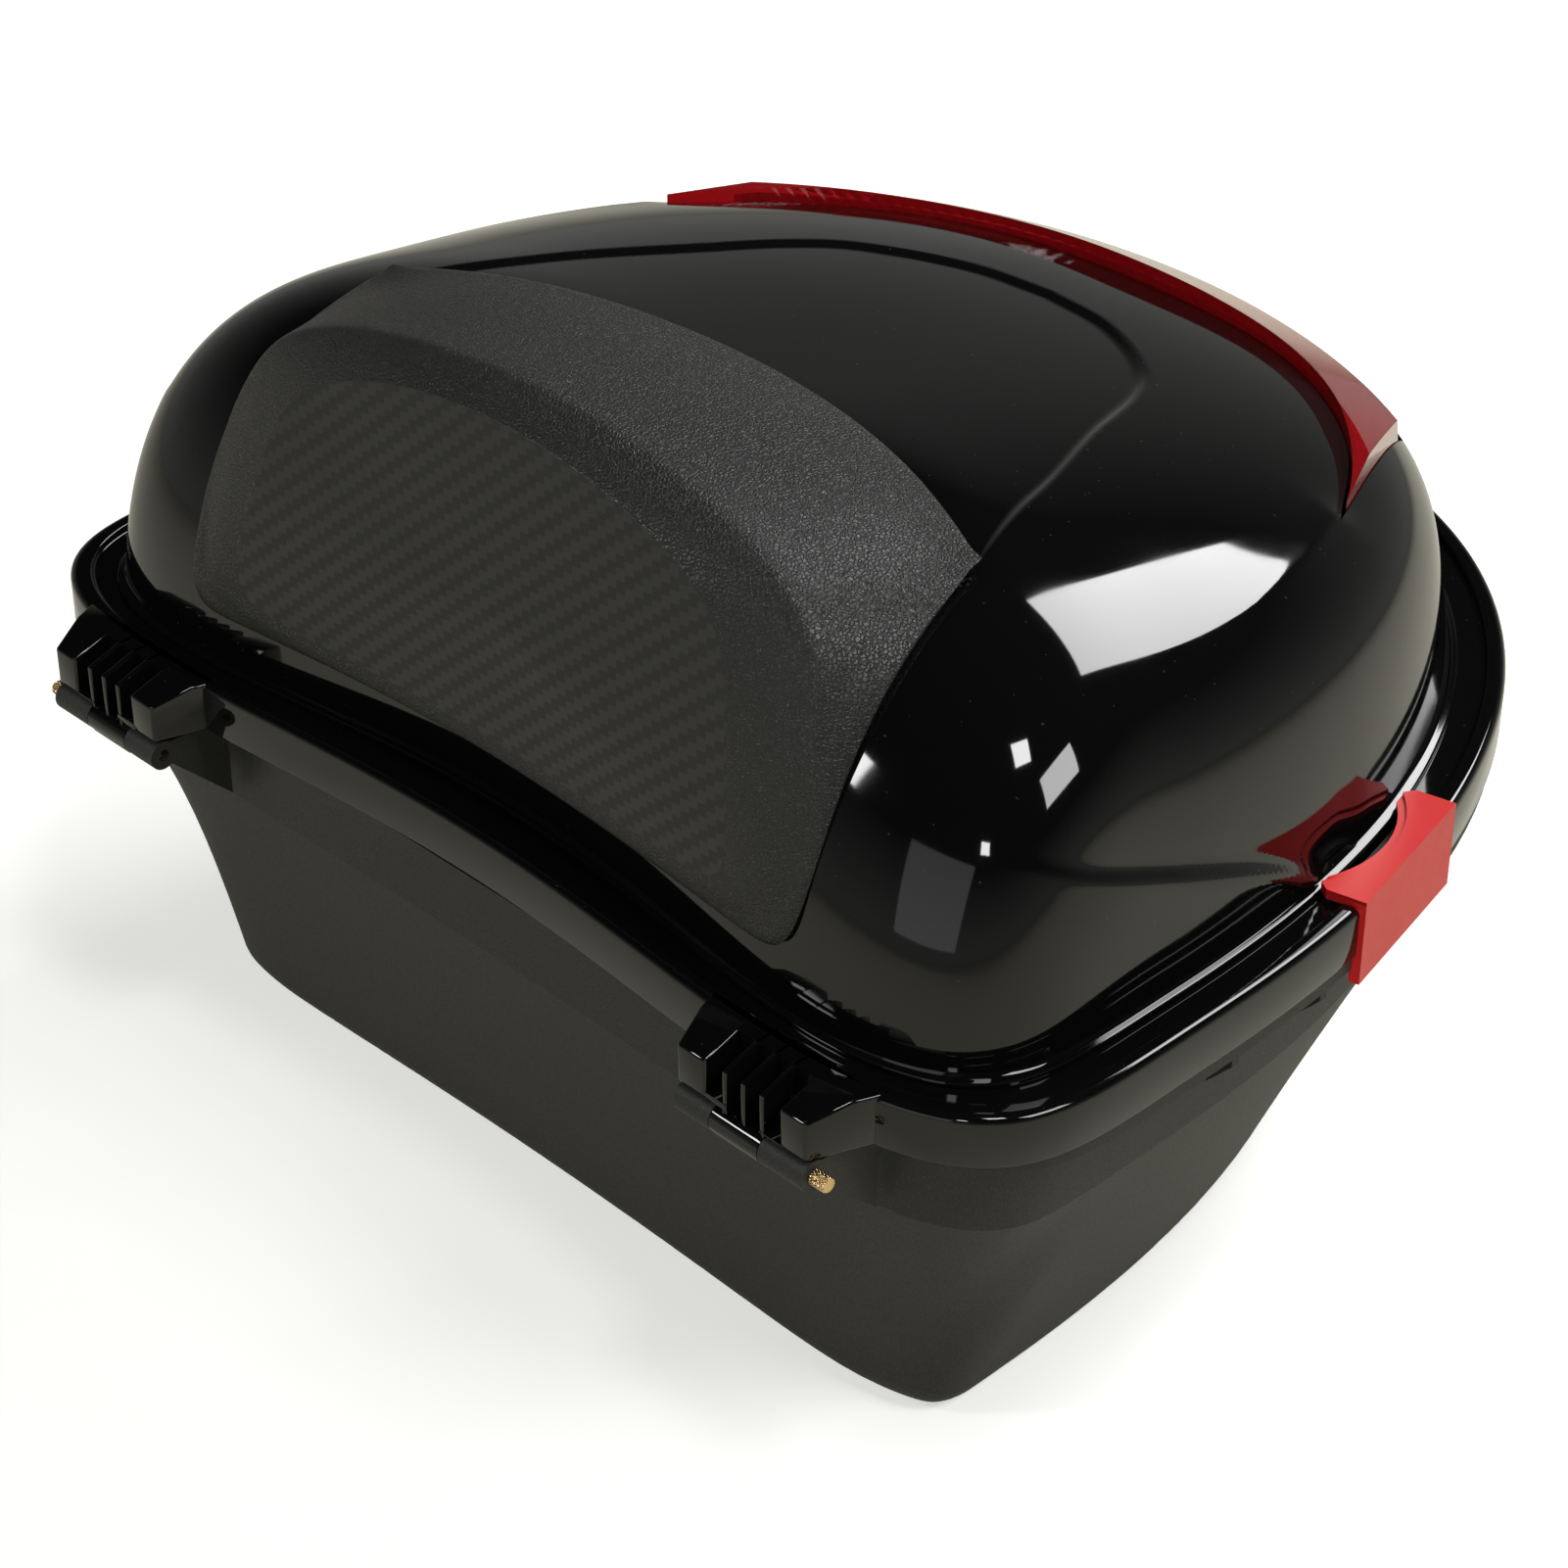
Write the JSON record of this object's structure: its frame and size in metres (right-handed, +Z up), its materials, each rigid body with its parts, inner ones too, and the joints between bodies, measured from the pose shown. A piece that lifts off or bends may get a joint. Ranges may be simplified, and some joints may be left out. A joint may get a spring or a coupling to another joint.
{
  "type": "motorcycle top case",
  "caption": "Hinged motorcycle top case: matte tub, glossy domed lid with padded backrest, side latches, rear reflector and key lock.",
  "frame": {"origin": "centre of the mounting holes on the underside of the tub", "axes": "+Z up, -Y toward the rider (hinge and backrest side), +Y to the rear (reflector), +X to the right latch"},
  "size_m": [0.44, 0.4, 0.285],
  "materials": {
    "tub_plastic": "fine moulded texture",
    "gloss_black": "piano black gloss",
    "pad_leather": "leather grain with a woven-look front panel",
    "latch_red": "satin red",
    "lens_red": "clear dark red",
    "pin_brass": "knurled",
    "seal_rubber": "matt",
    "carrier_plastic": "plain moulded",
    "screw_steel": "zinc plated",
    "lock_chrome": "polished"
  },
  "bodies": {
    "base": {"base_tub": "tub_plastic", "rim_seal": "seal_rubber", "hinge_pin_right": "pin_brass", "hinge_pin_left": "pin_brass", "latch_pin_right": "screw_steel", "latch_pin_left": "screw_steel", "lock_housing": "lock_chrome", "lock_nut": "lock_chrome"},
    "lid": {"lid_frame": "gloss_black", "lid_screws": "screw_steel", "lid_dome": "gloss_black", "reflector_lens": "lens_red", "reflector_housing": "carrier_plastic", "reflector_screws": "screw_steel", "backrest_carrier": "carrier_plastic", "backrest_pad": "pad_leather", "backrest_screws": "screw_steel", "lock_strike": "screw_steel", "strike_screws": "screw_steel"},
    "right_latch": {"latch_right": "latch_red"},
    "left_latch": {"latch_left": "latch_red"},
    "lock_core": {"lock_plug": "lock_chrome", "lock_cam": "screw_steel", "cam_screw": "screw_steel"}
  },
  "joints": [
    {"name": "lid_hinge", "type": "hinge", "parent": "base", "child": "lid", "pos_m": [0, -0.182, 0.13], "axis": [1, 0, 0], "range_deg": [0, 85]},
    {"name": "latch_right_hinge", "type": "hinge", "parent": "base", "child": "right_latch", "pos_m": [0.20762, 0.02517, 0.1284], "axis": [-0.2181, 0.9759, 0], "range_deg": [0, 90]},
    {"name": "latch_left_hinge", "type": "hinge", "parent": "base", "child": "left_latch", "pos_m": [-0.20762, 0.02517, 0.1284], "axis": [-0.2181, -0.9759, 0], "range_deg": [0, 90]},
    {"name": "lock_turn", "type": "hinge", "parent": "base", "child": "lock_core", "pos_m": [0, 0.195, 0.112], "axis": [0, -1, 0], "range_deg": [0, 90]}
  ]
}
